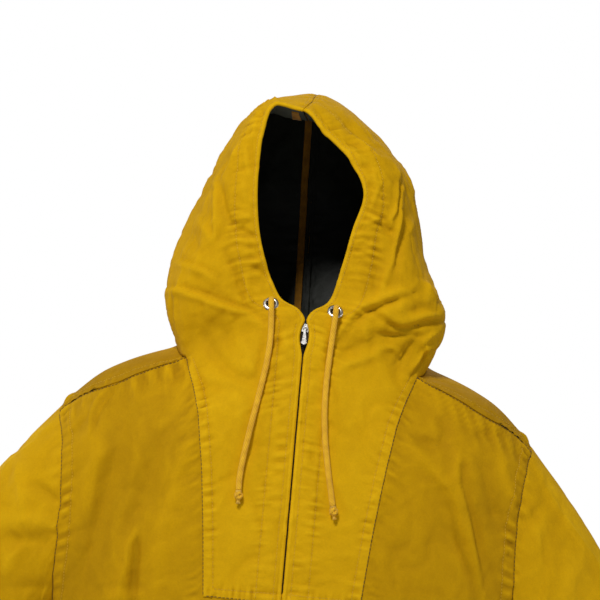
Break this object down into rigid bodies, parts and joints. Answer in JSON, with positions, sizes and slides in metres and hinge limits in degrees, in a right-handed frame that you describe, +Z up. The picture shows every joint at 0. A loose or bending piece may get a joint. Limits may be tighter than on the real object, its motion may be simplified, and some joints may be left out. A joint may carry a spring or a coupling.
{
  "type": "anorak pullover",
  "caption": "Hooded half-zip cotton anorak filled out as if worn: standing hood with drawcord and eyelets, chest bib cut in one with the hood, long sleeves, plain hem",
  "frame": {"origin": "middle of the neck's base, level with the tops of the shoulders, where the wearer's shoulders hold the garment", "axes": "+X to the right seen from the front, -Y out of the front, +Z up"},
  "size_m": [1.0858, 0.3093, 0.9828],
  "materials": {
    "shell_cloth": "mustard-yellow tight cotton twill, slight sheen, puckered seams",
    "inner_face": "dark olive coated inner face of the cloth",
    "seam_tape": "mustard bound seam allowance",
    "zip_tape": "dark brown woven zip tape",
    "zip_metal": "worn silver-coloured metal",
    "eyelet_metal": "pressed nickel eyelet, satin",
    "cord": "braided cotton cord, a little more orange than the cloth"
  },
  "bodies": {
    "garment": {"front": "shell_cloth", "back": "shell_cloth", "hood_bib_left": "shell_cloth", "hood_bib_right": "shell_cloth", "sleeve_left": "shell_cloth", "sleeve_right": "shell_cloth", "casing_left": "inner_face", "casing_right": "inner_face", "hood_tape": "seam_tape", "zip_tape_left": "zip_tape", "zip_tape_right": "zip_tape", "zip_chain": "zip_metal", "slider": "zip_metal", "eyelet_left": "eyelet_metal", "eyelet_right": "eyelet_metal", "cord_left": "cord", "cord_right": "cord", "knot_left": "cord", "knot_right": "cord"},
    "pull_tab": {"pull_tab": "zip_metal"}
  },
  "joints": [
    {"name": "pull_tab_swing", "type": "hinge", "parent": "garment", "child": "pull_tab", "pos_m": [0, -0.09736, 0.03461], "axis": [-1, 0, 0], "range_deg": [0, 100]}
  ]
}
